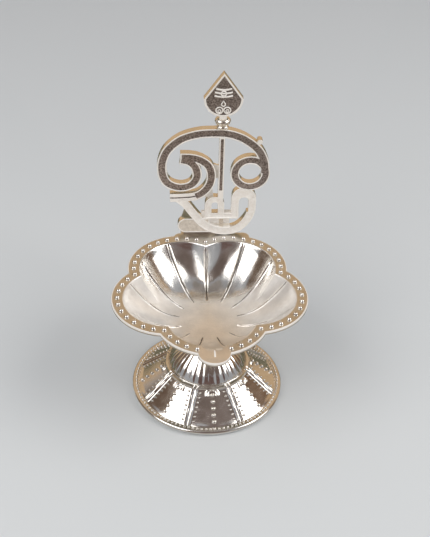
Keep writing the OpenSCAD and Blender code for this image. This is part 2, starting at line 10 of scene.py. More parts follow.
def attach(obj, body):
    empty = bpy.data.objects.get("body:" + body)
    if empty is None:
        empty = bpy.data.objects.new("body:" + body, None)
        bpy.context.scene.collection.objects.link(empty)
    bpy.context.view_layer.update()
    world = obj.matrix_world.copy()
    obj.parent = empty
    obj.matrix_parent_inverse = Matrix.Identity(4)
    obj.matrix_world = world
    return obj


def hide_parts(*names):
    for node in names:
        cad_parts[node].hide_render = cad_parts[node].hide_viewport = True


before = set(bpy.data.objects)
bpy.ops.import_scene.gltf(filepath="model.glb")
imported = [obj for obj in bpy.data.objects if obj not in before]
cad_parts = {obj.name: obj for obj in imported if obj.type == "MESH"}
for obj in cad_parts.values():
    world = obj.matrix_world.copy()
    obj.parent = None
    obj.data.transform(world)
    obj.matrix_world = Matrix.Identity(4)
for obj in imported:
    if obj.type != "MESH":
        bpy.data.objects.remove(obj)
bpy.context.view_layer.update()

# Lengths on the lamp are in millimetres until they go into a mesh, those of the studio in metres
MM = 0.001
BODY = "root"

# Heights of the stack
PLATE_TOP = 1.0
FLANGE_TOP = 2.2
FOOT_TOP = 11.2
KNOP_TOP = 21.5
BOWL_UNDER_Z = 28.5
BOWL_FLOOR_Z = 29.8
RIM_Z = 43.2

# Foot: skirt between the flange and the ring at its top
FOOT_R = 26.4
PANEL_EDGE_R = 24.2
FOOT_TOP_R = 13.9
FOOT_WALL = 1.0
SKIRT_ROWS = 56
PANELS = 8
PANEL_TURN = 3.4
COLUMNS_PER_PANEL = 112
FACET_SHARE = 0.75
FACET_FADE = 1.5

# Flange: inward and upward steps of its lower corner, the round of its upper one, and its flat top
FLANGE_LOWER_STEPS = ((0.25, 0.0), (0.06, 0.1), (0.0, 0.3))
FLANGE_ROUND = 0.75
FLANGE_ROUND_STEPS = 5
FLANGE_FLAT_INSET = 1.1

# Top of the foot: raised ring, the opening inside it, and the hollow below
TOP_RING_R = 13.45
TOP_RING_H = 0.42
TOP_RING_STEPS = 8
TOP_OPENING_INSET = 2.5
TOP_T = 1.6
HOLLOW_TAPER = 0.3

# Relief on the skirt: pairs of ribs between panels, a border, and arcs round the last bead of each row
RIB_HALF_PITCH = 0.65
RIB_HALF_W = 0.33
RIB_H = 0.42
BORDER_H = 0.4
BORDER_HALF_W = 0.42
BORDER_DROP = 0.75
ARC_RADII = (1.35, 2.15)
ARC_H = 0.2
ARC_HALF_W = 0.22
ARC_BELOW_BEAD = 0.5
RELIEF_FADE = 0.6

# Beads on the foot: a row down each panel, two along its sides, and one ring on the flange
PANEL_BEADS = 5
PANEL_BEAD_R = 0.74
PANEL_BEAD_START = 1.8
PANEL_BEAD_PITCH = 2.25
LAST_PANEL_BEAD = PANEL_BEAD_START + (PANEL_BEADS - 1) * PANEL_BEAD_PITCH
SIDE_BEADS = 7
SIDE_BEAD_R = 0.43
SIDE_BEAD_LIFT = 0.12
SIDE_BEAD_START = 1.5
SIDE_BEAD_PITCH = 1.62
SIDE_BEAD_OFFSET = 1.95
EDGE_BEADS = 104
EDGE_BEAD_R = 0.48
EDGE_BEAD_RING_R = 24.9

# Segments round and rings from pole to pole of small, middling and large beads
SMALL_BEAD = (12, 8)
BEAD = (14, 9)
LARGE_BEAD = (16, 10)

# Knop: its dome narrows like a cosine, from a share of the quarter turn on and raised to a power
KNOP_R = 13.4
KNOP_BASE_INSETS = (2.0, 0.05)
KNOP_DOME_LIFT = 0.15
KNOP_DOME_TOP = 20.3
KNOP_START = 0.18
KNOP_CURVE = 1.1
KNOP_ROWS = 30
KNOP_COLUMNS_PER_FLUTE = 14
FLUTES = 32
FLUTE_DEPTH = 0.3
FLUTE_FADE = (-0.08, 0.22)
DOME_TOP_R = 5.6
COLLAR_R = 5.35
COLLAR_EDGE = 0.2

# Bowl: petals, wall and neck; a pair of shares is a stretch of the wall's height where something starts
# or ends
PETALS = 5
PETAL_OFF = 14.5
PETAL_R = 18.6
BOWL_WALL = 1.3
BOWL_FLOOR_R = 9.4
BOWL_COLUMNS = 1170
WALL_ROWS = 34
MEAN_WALL_RUN = 17.8
PETAL_FADE = (0.1, 0.95)
OUTSIDE_ROWS_LEFT_OUT = 4
OUTSIDE_ROW_STEP = 2
NECK_R = 4.8
NECK_FILLET = 3.2
NECK_STEPS = 8

# Rim: its rounds inside and at the spout, and the inward and downward steps of its outer corners
RIM_W = 3.9
RIM_T = 1.3
RIM_STEPS = 8
RIM_INNER_ROUND = 0.35
SPOUT_INNER_ROUND = 2.0
INNER_ROUND_STEPS = 5
RIM_CORNER_STEPS = ((0.35, 0.0), (0.1, 0.1), (0.0, 0.3))
RIM_LIP_H = 0.65
RIM_UNDER_REACH = 0.6

# Ribs inside the bowl: two lines with a sunk core between them, painted dark as shade; the wall sags a
# little between ribs
BOWL_RIBS = 13
RIB_LINE_PITCH = 0.34
RIB_LINE_HALF_W = 0.17
RIB_LINE_H = 0.26
RIB_CORE_HALF_W = 0.16
RIB_CORE_DEPTH = 0.12
# Width of the painted shade along the core of each rib
RIB_SHADE_W = 0.32
# About half the turn from one column to the next, in degrees
HALF_COLUMN = 0.15
RIB_SPREAD_LOW = 0.75
RIB_SPREAD_GAIN = 0.5
RIB_START = (0.0, 0.08)
RIB_END = (1.0, 0.93)
WALL_SAG = 0.3
SAG_START = (0.1, 0.6)

# Beads on the rim
BEADS_PER_PETAL = 11
RIM_BEAD_R = 0.85
RIM_BEAD_INSET = 2.0
SPOUT_BARE_SHARE = 0.8

# Spout with its wick groove, which starts and ends between two values of y, and a small ridge in it
SPOUT_ANGLE = 270.0
SPOUT_R = 5.1
SPOUT_REACH = 32.1
SPOUT_HALF_TURN = 9.0
SPOUT_BLEND_TURN = 5.0
GROOVE_DEPTH = 0.5
GROOVE_MARGIN = 0.7
GROOVE_START_Y = (-25.0, -29.5)
GROOVE_END_Y = (-36.2, -34.2)
WICK_MARK_H = 0.3
WICK_MARK_BELL_W = 0.35
WICK_MARK_START_Y = (-28.8, -29.6)
WICK_MARK_END_Y = (-33.4, -32.6)
WICK_MARK_HALF_W = 0.18
WICK_MARK_Y = (-33.0, -29.4)

# Rear ledges: left edge, right edge, rear edge, corner radius
LEDGE = (-11.2, 15.8, 31.9, 2.5)
DEEP_LEDGE = (-8.5, 9.5, 36.7, 2.0)
LEDGE_T = 2.0
CORNER_NUDGE = 0.02

# Crest: the depths of its faces, the cleaning of its mesh, and where its finishes, painted shade and
# painted highlight change
CREST_FRONT_Y = 30.2
SUNK_Y = 30.65
LOWER_SUNK_Y = 30.45
WEB_Y = 31.9
CREST_BEVEL = 0.12
CREST_WELD = 0.04
CREST_SEAM_ANGLE = 0.8
CREST_CORNER_ANGLE = 50.0
ON_FACE = 0.01
FRONTWARD = -0.9
PARTLY_FRONTWARD = -0.3
DARK_FACES_ABOVE = 57.5
GUSSET_RIGHT_X = -3.0
TAB_RIGHT_X = 0.5
TAB_TOP_Z = 50.4
POCKET_X = (-1.4, 8.7)
POCKET_Z = (45.5, 52.6)

# Engraving on the spear head; heights are counted from its middle, and a stripe is a height and half
# a length
SPEAR_X = 5.1
HEAD_Z = 97.0
ENGRAVING_Y = SUNK_Y - 0.1
STRIPES = ((3.2, 2.6), (1.95, 2.9), (0.7, 3.0))
STRIPE_BOW = 0.45
STRIPE_WIRE_R = 0.31
STRIPE_STEPS = 8
DOT_Z = 1.95
DOT_R = 0.34
DOT_LIFT = 0.05
DOT_RING_R = 0.85
DOT_RING_WIRE_R = 0.24
DOT_RING_LIFT = 0.15
DROP_Z = -2.0
DROP_R = 0.66
DROP_TIP_Z = -0.75
DROP_START = 125.0
DROP_SWEEP = 290.0
DROP_WIRE_R = 0.2
SCROLL_X = 1.3
SCROLL_Z = -4.15
SCROLL_R = 1.12
SCROLL_WIRE_R = 0.22
SCROLL_EYE_Z = -4.4
SCROLL_EYE_R = 0.5
SCROLL_EYE_WIRE_R = 0.17

# Points nearer to each other than this, in metres, are one
SAME_POINT = 1e-7


def smooth_step(low, high, value):
    """Runs smoothly from 0 at low to 1 at high, and low may be the larger of the two."""
    t = min(1.0, max(0.0, (value - low) / (high - low)))
    return t * t * (3 - 2 * t)


def bell(distance, half_width):
    """Rounded ridge of height 1 across its middle."""
    return math.exp(-((distance / half_width) ** 2))


def polar(angle, radius, z):
    """Point at an angle round the lamp's axis, 90 being behind it."""
    a = math.radians(angle)
    return Vector((radius * math.cos(a), radius * math.sin(a), z))


# Nodes of materials


def empty_material(name):
    mat = bpy.data.materials.new(name)
    mat.use_nodes = True
    mat.node_tree.nodes.clear()
    return mat


def feed(tree, node, inputs):
    """Gives inputs of a node their values; what comes out of another node is linked."""
    for socket, value in inputs.items():
        if isinstance(value, bpy.types.NodeSocket):
            tree.links.new(value, node.inputs[socket])
        else:
            node.inputs[socket].default_value = value


def add_node(tree, kind, inputs):
    node = tree.nodes.new(kind)
    feed(tree, node, inputs)
    return node


def calculated(tree, operation, *values):
    node = tree.nodes.new("ShaderNodeMath")
    node.operation = operation
    feed(tree, node, dict(enumerate(values)))
    return node.outputs["Value"]


def ranged(tree, value, source, target, interpolation="LINEAR"):
    """Carries a value over from one range to another."""
    node = tree.nodes.new("ShaderNodeMapRange")
    node.interpolation_type = interpolation
    feed(tree, node, {"Value": value, "From Min": source[0], "From Max": source[1],
                      "To Min": target[0], "To Max": target[1]})
    return node.outputs["Result"]


def mixed(tree, factor, first, second, data_type="FLOAT"):
    node = tree.nodes.new("ShaderNodeMix")
    node.data_type = data_type
    feed(tree, node, {"Factor": factor, "A": first, "B": second})
    return node.outputs["Result"]


def colour_ramp(tree, factor, stops):
    """Colours between stops, each of which is a position and a colour."""
    node = add_node(tree, "ShaderNodeValToRGB", {"Fac": factor})
    elements = node.color_ramp.elements
    for position, _ in stops[1:-1]:
        elements.new(position)
    for element, (position, colour) in zip(elements, stops):
        element.position = position
        element.color = (*colour, 1)
    return node.outputs["Color"]


def noise(tree, coords, scale, detail, roughness):
    inputs = {"Vector": coords, "Scale": scale, "Detail": detail, "Roughness": roughness}
    return add_node(tree, "ShaderNodeTexNoise", inputs).outputs["Fac"]


# Finishes, among them painted shade, painted highlight and painted reflection

# Noise of the clouds and the grain, and the stretches of the clouds that carry colour, gloss and patches
CLOUD_NOISE = (3.0, 0.6)
GRAIN_NOISE = (4.0, 0.65)
GRAIN_DEPTH = 0.1
TINT_STOPS = (0.35, 0.68)
GLOSS_STOPS = (0.3, 0.7)
PATCH_STOPS = (0.35, 0.65)

# The bowl is frosted where its height, raised by the way behind the axis and lowered by the way aside,
# stays below the first level, and plain above the second
SATIN_LEVELS = (43.5, 54.0)
SATIN_BACK_LEAN = 2.2
SATIN_SIDE_LEAN = -0.6
# The frosting's colour carries a painted warm reflection and shade: one tone at the front, one in the
# middle and one at the sides and the back
SATIN_REFLECTION_TONES = ((0.0, (0.72, 0.605, 0.475)), (0.5, (0.80, 0.695, 0.575)), (1.0, (0.90, 0.88, 0.85)))
SATIN_TONE_LEAN = 0.6
SATIN_TONE_RANGE = (-14.0, 14.0)
SATIN_PATCHES = (0.94, 1.08)
SATIN_ROUGHNESS = 0.34
SATIN_METAL = 0.60
SATIN_BUMP = 1.0


def frosted(tree, coords, cloud, colour, roughness, metal, bump):
    """Colour, roughness, metal and bump that run from those given to those of the frosting, whose colour
    carries painted reflection and shade.
    """
    split = add_node(tree, "ShaderNodeSeparateXYZ", {"Vector": coords})
    aside = calculated(tree, "ABSOLUTE", split.outputs["X"])
    lowered = calculated(tree, "MULTIPLY_ADD", aside, SATIN_SIDE_LEAN, split.outputs["Z"])
    height = calculated(tree, "MULTIPLY_ADD", split.outputs["Y"], SATIN_BACK_LEAN, lowered)
    level = ranged(tree, height, [end * MM for end in SATIN_LEVELS], (1.0, 0.0), "SMOOTHSTEP")
    # Where the painted reflection and shade stand, from the front to the sides and back
    place = calculated(tree, "MULTIPLY_ADD", split.outputs["Y"], SATIN_TONE_LEAN, aside)
    tone_share = ranged(tree, place, [end * MM for end in SATIN_TONE_RANGE], (0.0, 1.0))
    patchy = tree.nodes.new("ShaderNodeVectorMath")
    patchy.operation = "SCALE"
    feed(tree, patchy, {0: colour_ramp(tree, tone_share, SATIN_REFLECTION_TONES),
                        "Scale": ranged(tree, cloud, PATCH_STOPS, SATIN_PATCHES)})
    return (
        mixed(tree, level, colour, patchy.outputs["Vector"], "RGBA"),
        mixed(tree, level, roughness, SATIN_ROUGHNESS),
        ranged(tree, level, (0.0, 1.0), (metal, SATIN_METAL)),
        ranged(tree, level, (0.0, 1.0), (bump, SATIN_BUMP)),
    )


def silver(name, dark, light, roughness, grain, bump, metal=1.0, cloud_scale=160.0, satin=False):
    """Plated metal whose colour and roughness wander between two values, with a fine grain in it."""
    mat = empty_material(name)
    tree = mat.node_tree
    coords = add_node(tree, "ShaderNodeTexCoord", {}).outputs["Object"]
    cloud = noise(tree, coords, cloud_scale, *CLOUD_NOISE)
    colour = colour_ramp(tree, cloud, tuple(zip(TINT_STOPS, (dark, light))))
    rough = ranged(tree, cloud, GLOSS_STOPS, roughness)
    if satin:
        colour, rough, metal, bump = frosted(tree, coords, cloud, colour, rough, metal, bump)
    speckle = noise(tree, coords, grain, *GRAIN_NOISE)
    relief = add_node(tree, "ShaderNodeBump",
                      {"Strength": bump, "Distance": GRAIN_DEPTH * MM, "Height": speckle})
    shader = add_node(tree, "ShaderNodeBsdfPrincipled",
                      {"Base Color": colour, "Roughness": rough, "Metallic": metal,
                       "Normal": relief.outputs["Normal"]})
    add_node(tree, "ShaderNodeOutputMaterial", {"Surface": shader.outputs["BSDF"]})
    return mat


BRIGHT = silver(
    "bright_plate", dark=(0.74, 0.72, 0.69), light=(0.90, 0.88, 0.85), roughness=(0.10, 0.20),
    grain=900.0, bump=0.05,
)
# Bowl plate; where it is frosted, its colour carries the painted reflection and shade
BOWL_FINISH = silver(
    "bowl_plate", dark=(0.70, 0.68, 0.65), light=(0.90, 0.88, 0.85), roughness=(0.12, 0.24),
    grain=1300.0, bump=0.25, satin=True,
)
# Painted shade and dark reflection along the sunk core of each rib
RIB_SHADE = silver(
    "bowl_rib_shade", dark=(0.22, 0.19, 0.16), light=(0.42, 0.37, 0.32), roughness=(0.35, 0.50),
    grain=2000.0, bump=0.30,
)
RIM_FINISH = silver(
    "rim_plate", dark=(0.70, 0.67, 0.62), light=(0.80, 0.77, 0.72), roughness=(0.26, 0.34),
    grain=1500.0, bump=0.04,
)
CREST_FINISH = silver(
    "crest_plate", dark=(0.86, 0.82, 0.74), light=(0.96, 0.92, 0.85), roughness=(0.18, 0.28),
    grain=1200.0, bump=0.10,
)
# Near-white painted highlight on the crest's lips, the rim's outer edge, the ridge in the spout and the
# spear's engraving
PAINTED_HIGHLIGHT = silver(
    "painted_lip_highlight", dark=(0.90, 0.87, 0.83), light=(0.97, 0.95, 0.92), roughness=(0.35, 0.45),
    grain=1600.0, bump=0.15, metal=0.2,
)
LOWER_FINISH = silver(
    "crest_lower_face", dark=(0.86, 0.82, 0.77), light=(0.97, 0.95, 0.92), roughness=(0.42, 0.55),
    grain=1600.0, bump=0.35, metal=0.1, cloud_scale=900.0,
)
# Darker tan painted shade on the crest's foot tab
TAB_SHADE = silver(
    "crest_tab_shade", dark=(0.66, 0.60, 0.52), light=(0.84, 0.78, 0.70), roughness=(0.40, 0.50),
    grain=1600.0, bump=0.35, metal=0.3, cloud_scale=900.0,
)
SUNK_FINISH = silver(
    "crest_sunk_face", dark=(0.16, 0.135, 0.13), light=(0.58, 0.52, 0.50), roughness=(0.28, 0.50),
    grain=2600.0, bump=0.5, cloud_scale=2000.0,
)
# Dark olive painted shade on the recessed web behind the crest's left leg
GUSSET_SHADE = silver(
    "crest_gusset_shade", dark=(0.34, 0.33, 0.25), light=(0.52, 0.51, 0.40), roughness=(0.45, 0.60),
    grain=1600.0, bump=0.3,
)
STEEL = silver(
    "turned_steel", dark=(0.42, 0.42, 0.43), light=(0.60, 0.60, 0.61), roughness=(0.25, 0.38),
    grain=1800.0, bump=0.05,
)

# The finishes, painted shade and painted highlight in the order of the material slots of the bowl and of
# the crest
BOWL_FINISHES = [BOWL_FINISH, RIM_FINISH, BRIGHT, RIB_SHADE, PAINTED_HIGHLIGHT]
CREST_FINISHES = [CREST_FINISH, SUNK_FINISH, LOWER_FINISH, GUSSET_SHADE, PAINTED_HIGHLIGHT, TAB_SHADE]


# Meshes

# A face looks straight along an axis when its normal has more than this share of it
STRAIGHT = 0.999


def mesh_object(name, bm, materials):
    mesh = bpy.data.meshes.new(name)
    bm.to_mesh(mesh)
    bm.free()
    for material in materials:
        mesh.materials.append(material)
    thing = bpy.data.objects.new(name, mesh)
    bpy.context.scene.collection.objects.link(thing)
    return thing


def finish_mesh(name, bm, materials, sharp_angle=35.0, flat_across_y=False):
    """Makes the object, smooth except across sharp corners, and lets it ride on the lamp.

    flat_across_y keeps the faces that look straight to the front or back flat up to their edges.
    """
    bmesh.ops.recalc_face_normals(bm, faces=bm.faces)
    for face in bm.faces:
        face.smooth = not (flat_across_y and abs(face.normal.y) > STRAIGHT)
    for edge in bm.edges:
        edge.smooth = not edge.is_manifold or edge.calc_face_angle() < math.radians(sharp_angle)
        if any(not face.smooth for face in edge.link_faces):
            edge.smooth = False
    piece = mesh_object(name, bm, materials)
    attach(piece, BODY)
    return piece


def add_rings(bm, rings, slot_of=None):
    """Skin through rings of points, each ring closed on itself; a ring of one point is a pole.

    slot_of gives the material slot of a face from the number of its lower ring and of its place there.
    """
    rows = [[bm.verts.new(p * MM) for p in ring] for ring in rings]
    for k in range(len(rows) - 1):
        low, high = rows[k], rows[k + 1]
        count = max(len(low), len(high))
        for i in range(count):
            j = (i + 1) % count
            if len(low) == 1:
                corners = (low[0], high[i], high[j])
            elif len(high) == 1:
                corners = (low[i], low[j], high[0])
            else:
                corners = (low[i], low[j], high[j], high[i])
            face = bm.faces.new(corners)
            if slot_of:
                face.material_index = slot_of(k, i)


def add_bead(bm, centre, radius, fineness=BEAD):
    bmesh.ops.create_uvsphere(bm, u_segments=fineness[0], v_segments=fineness[1], radius=radius * MM,
                              matrix=Matrix.Translation(centre * MM))


def add_tube(bm, points, radius, closed=False, sides=8):
    """Round wire through points, its ends closed unless it runs round."""
    count = len(points)
    rings = []
    for i, p in enumerate(points):
        ahead = points[(i + 1) % count] if closed or i < count - 1 else p
        behind = points[i - 1] if closed or i > 0 else p
        along = (ahead - behind).normalized()
        across = along.cross(Vector((0, 1, 0))).normalized()
        up = across.cross(along)
        turns = [2 * math.pi * s / sides for s in range(sides)]
        rings.append([p + (across * math.cos(t) + up * math.sin(t)) * radius for t in turns])
    if closed:
        rings.append(rings[0])
        add_rings(bm, rings)
        bmesh.ops.remove_doubles(bm, verts=bm.verts, dist=SAME_POINT)
    else:
        add_rings(bm, [[points[0]], *rings, [points[-1]]])


# Foot

SKIRT_RUN = PANEL_EDGE_R - FOOT_TOP_R
SKIRT_RISE = FOOT_TOP - FLANGE_TOP
SKIRT_LENGTH = math.hypot(SKIRT_RUN, SKIRT_RISE)
SKIRT_NORMAL = (SKIRT_RISE / SKIRT_LENGTH, SKIRT_RUN / SKIRT_LENGTH)
PANEL_STEP = 360.0 / PANELS
FIRST_PANEL = -90.0 + PANEL_TURN


def facet_radius(from_panel_middle, radius, share):
    """Each panel is two almost flat facets that meet at its row of beads."""
    half_facet = PANEL_STEP / 4
    from_facet_middle = abs(from_panel_middle) - half_facet
    flat = radius * math.cos(math.radians(half_facet)) / math.cos(math.radians(from_facet_middle))
    return radius + (flat - radius) * share


def skirt_relief(from_panel_middle, along, radius):
    """Height of the pairs of ribs, the border and the arcs above the plain skirt."""
    from_rib = math.radians(PANEL_STEP / 2 - abs(from_panel_middle)) * radius
    across = math.radians(from_panel_middle) * radius
    height = RIB_H * bell(from_rib - RIB_HALF_PITCH, RIB_HALF_W)
    height = max(height, BORDER_H * bell(along - (SKIRT_LENGTH - BORDER_DROP), BORDER_HALF_W))
    if along > LAST_PANEL_BEAD - ARC_BELOW_BEAD:
        from_bead = math.hypot(across, along - LAST_PANEL_BEAD)
        height = max(height, *(ARC_H * bell(from_bead - r, ARC_HALF_W) for r in ARC_RADII))
    return height * smooth_step(0.0, RELIEF_FADE, along)


def on_skirt(from_panel_middle, panel, along, lift=0.0):
    """Point on the skirt of a panel, at a length up its slope and a lift above it."""
    share = along / SKIRT_LENGTH
    radius = PANEL_EDGE_R - SKIRT_RUN * share
    z = FLANGE_TOP + SKIRT_RISE * share
    radius = facet_radius(from_panel_middle, radius, FACET_SHARE * smooth_step(0.0, FACET_FADE, along))
    angle = FIRST_PANEL + panel * PANEL_STEP + from_panel_middle
    return polar(angle, radius + SKIRT_NORMAL[0] * lift, z + SKIRT_NORMAL[1] * lift)


def foot_skirt():
    """Flange, skirt and ring from the base plate up, and back down the inside."""
    turns = []
    for panel in range(PANELS):
        for i in range(COLUMNS_PER_PANEL):
            turns.append((panel, PANEL_STEP * (i / COLUMNS_PER_PANEL - 0.5)))

    def ring(radius, z):
        return [polar(FIRST_PANEL + p * PANEL_STEP + a, radius, z) for p, a in turns]

    rings = [ring(PANEL_EDGE_R - FOOT_WALL, PLATE_TOP)]
    for inward, up in FLANGE_LOWER_STEPS:
        rings.append(ring(FOOT_R - inward, PLATE_TOP + up))
    for k in range(FLANGE_ROUND_STEPS + 1):
        turn = math.radians(90.0 * k / FLANGE_ROUND_STEPS)
        inward = FLANGE_ROUND * (1 - math.cos(turn))
        rings.append(ring(FOOT_R - inward, FLANGE_TOP - FLANGE_ROUND * (1 - math.sin(turn))))
    rings.append(ring(FOOT_R - FLANGE_FLAT_INSET, FLANGE_TOP))
    for k in range(SKIRT_ROWS + 1):
        along = SKIRT_LENGTH * k / SKIRT_ROWS
        radius = PANEL_EDGE_R - SKIRT_RUN * k / SKIRT_ROWS
        rings.append([on_skirt(a, p, along, skirt_relief(a, along, radius)) for p, a in turns])
    middle = (FOOT_TOP_R + TOP_RING_R) / 2
    half = (FOOT_TOP_R - TOP_RING_R) / 2
    for k in range(1, TOP_RING_STEPS):
        turn = math.radians(180.0 * k / TOP_RING_STEPS)
        rings.append(ring(middle + half * math.cos(turn), FOOT_TOP + TOP_RING_H * math.sin(turn)))
    rings += [
        ring(TOP_RING_R, FOOT_TOP),
        ring(FOOT_TOP_R - TOP_OPENING_INSET, FOOT_TOP),
        ring(FOOT_TOP_R - TOP_OPENING_INSET, FOOT_TOP - TOP_T),
        ring(FOOT_TOP_R - FOOT_WALL, FOOT_TOP - TOP_T),
        ring(PANEL_EDGE_R - FOOT_WALL - HOLLOW_TAPER, FLANGE_TOP),
        rings[0],
    ]
    bm = bmesh.new()
    add_rings(bm, rings)
    bmesh.ops.remove_doubles(bm, verts=bm.verts, dist=SAME_POINT)
    piece = finish_mesh("foot_skirt", bm, [BRIGHT])
    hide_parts("foot")


def foot_beads():
    bm = bmesh.new()
    for panel in range(PANELS):
        for k in range(PANEL_BEADS):
            along = PANEL_BEAD_START + k * PANEL_BEAD_PITCH
            add_bead(bm, on_skirt(0.0, panel, along), PANEL_BEAD_R)
        for k in range(SIDE_BEADS):
            along = SIDE_BEAD_START + k * SIDE_BEAD_PITCH
            radius = PANEL_EDGE_R - SKIRT_RUN * along / SKIRT_LENGTH
            aside = PANEL_STEP / 2 - math.degrees(SIDE_BEAD_OFFSET / radius)
            for side in (-1, 1):
                centre = on_skirt(side * aside, panel, along, SIDE_BEAD_LIFT)
                add_bead(bm, centre, SIDE_BEAD_R, SMALL_BEAD)
    for k in range(EDGE_BEADS):
        centre = polar(360.0 * k / EDGE_BEADS, EDGE_BEAD_RING_R, FLANGE_TOP)
        add_bead(bm, centre, EDGE_BEAD_R, SMALL_BEAD)
    piece = finish_mesh("foot_beads", bm, [BRIGHT])


# Knop


def knop_lobes():
    """Dome of convex lobes that shrink towards a plain collar."""
    columns = FLUTES * KNOP_COLUMNS_PER_FLUTE

    def ring(radius, z, depth=0.0):
        points = []
        for i in range(columns):
            lobe = abs(math.sin(math.pi * i / KNOP_COLUMNS_PER_FLUTE))
            points.append(polar(360.0 * i / columns, radius - depth * (1 - lobe), z))
        return points

    rings = [[Vector((0, 0, FOOT_TOP))]]
    for inset in KNOP_BASE_INSETS:
        rings.append(ring(KNOP_R - inset, FOOT_TOP))
    for k in range(KNOP_ROWS + 1):
        share = k / KNOP_ROWS
        arc = KNOP_START + (1 - KNOP_START) * share
        narrowing = math.cos(math.pi / 2 * arc) / math.cos(math.pi / 2 * KNOP_START)
        spread = narrowing**KNOP_CURVE
        radius = DOME_TOP_R + (KNOP_R - DOME_TOP_R) * spread
        z = FOOT_TOP + KNOP_DOME_LIFT + (KNOP_DOME_TOP - FOOT_TOP - KNOP_DOME_LIFT) * share
        rings.append(ring(radius, z, FLUTE_DEPTH * spread * smooth_step(*FLUTE_FADE, share)))
    rings += [
        ring(COLLAR_R, KNOP_DOME_TOP),
        ring(COLLAR_R, KNOP_TOP - COLLAR_EDGE),
        ring(COLLAR_R - COLLAR_EDGE, KNOP_TOP),
        [Vector((0, 0, KNOP_TOP))],
    ]
    bm = bmesh.new()
    add_rings(bm, rings)
    piece = finish_mesh("knop_lobes", bm, [BRIGHT])
    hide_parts("knop")


# Bowl

PETAL_STEP = 360.0 / PETALS
BOWL_DEPTH = RIM_Z - BOWL_FLOOR_Z

# Values closer than this count as equal
CLOSE = 1e-6


def petal_edge(angle, radius):
    """Polar radius of the outline of five circles; a notch between two of them lies at the back."""
    turn = math.radians((angle - 90.0) % PETAL_STEP - PETAL_STEP / 2)
    return PETAL_OFF * math.cos(turn) + math.sqrt(radius**2 - (PETAL_OFF * math.sin(turn)) ** 2)


def circle_exit(angle, x, y, radius):
    """Where a ray from the axis leaves a circle, or None if it misses."""
    a = math.radians(angle)
    towards = x * math.cos(a) + y * math.sin(a)
    under = towards**2 - (x * x + y * y - radius * radius)
    return towards + math.sqrt(under) if under > 0 else None


def spout_edge(angle):
    """Polar radius of the spout, a strip to the front with a round tip; 0 away from it."""
    a = math.radians(angle)
    tip = circle_exit(angle, 0.0, -SPOUT_REACH, SPOUT_R)
    if tip and tip * math.sin(a) <= -SPOUT_REACH:
        return tip
    if math.sin(a) < 0 and abs(math.cos(a)) > CLOSE:
        return SPOUT_R / abs(math.cos(a))
    return 0.0


def ledge_edge(angle, left, right, rear, corner):
    """Polar radius of a ledge to the back with two rounded corners; 0 in front of the axis."""
    a = math.radians(angle)
    if math.sin(a) <= CLOSE:
        return 0.0
    reach = rear / math.sin(a)
    if abs(math.cos(a)) > CLOSE:
        side = right if math.cos(a) > 0 else left
        reach = min(reach, side / math.cos(a))
    x, y = reach * math.cos(a), reach * math.sin(a)
    corner_x = right - corner if x > 0 else left + corner
    if y > rear - corner and abs(x) > abs(corner_x):
        rounded = circle_exit(angle, corner_x, rear - corner, corner)
        reach = rounded if rounded else reach
    return reach


def rim_edge(angle):
    return max(petal_edge(angle, PETAL_R), spout_edge(angle), ledge_edge(angle, *LEDGE),
               ledge_edge(angle, *DEEP_LEDGE))


def grooved(p):
    """The point, lowered by the wick groove or raised by the ridge in it."""
    width = SPOUT_R - GROOVE_MARGIN
    if p.y > GROOVE_START_Y[0] or abs(p.x) > width:
        return p
    along = smooth_step(*GROOVE_START_Y, p.y) * smooth_step(*GROOVE_END_Y, p.y)
    mark = smooth_step(*WICK_MARK_START_Y, p.y) * smooth_step(*WICK_MARK_END_Y, p.y)
    down = GROOVE_DEPTH * (1 - (p.x / width) ** 2) * along
    up = WICK_MARK_H * bell(p.x, WICK_MARK_BELL_W) * mark
    return p - Vector((0, 0, down - up))


def from_nearest_rib(angle):
    step = 360.0 / BOWL_RIBS
    return (angle - 90.0 + step / 2) % step - step / 2


def bowl_relief(angle, radius, height_share):
    """Height of the ribs' lines above the smooth wall, less the sag between ribs."""
    from_rib = from_nearest_rib(angle)
    across = abs(math.radians(from_rib) * radius)
    spread = RIB_SPREAD_LOW + RIB_SPREAD_GAIN * height_share
    lines = RIB_LINE_H * bell(across - RIB_LINE_PITCH * spread, RIB_LINE_HALF_W * spread)
    lines -= RIB_CORE_DEPTH * bell(across, RIB_CORE_HALF_W * spread)
    sag = WALL_SAG * (1 - math.cos(2 * math.pi * from_rib * BOWL_RIBS / 360.0)) / 2
    relief = lines * smooth_step(*RIB_START, height_share) - sag * smooth_step(*SAG_START, height_share)
    return relief * smooth_step(*RIB_END, height_share)


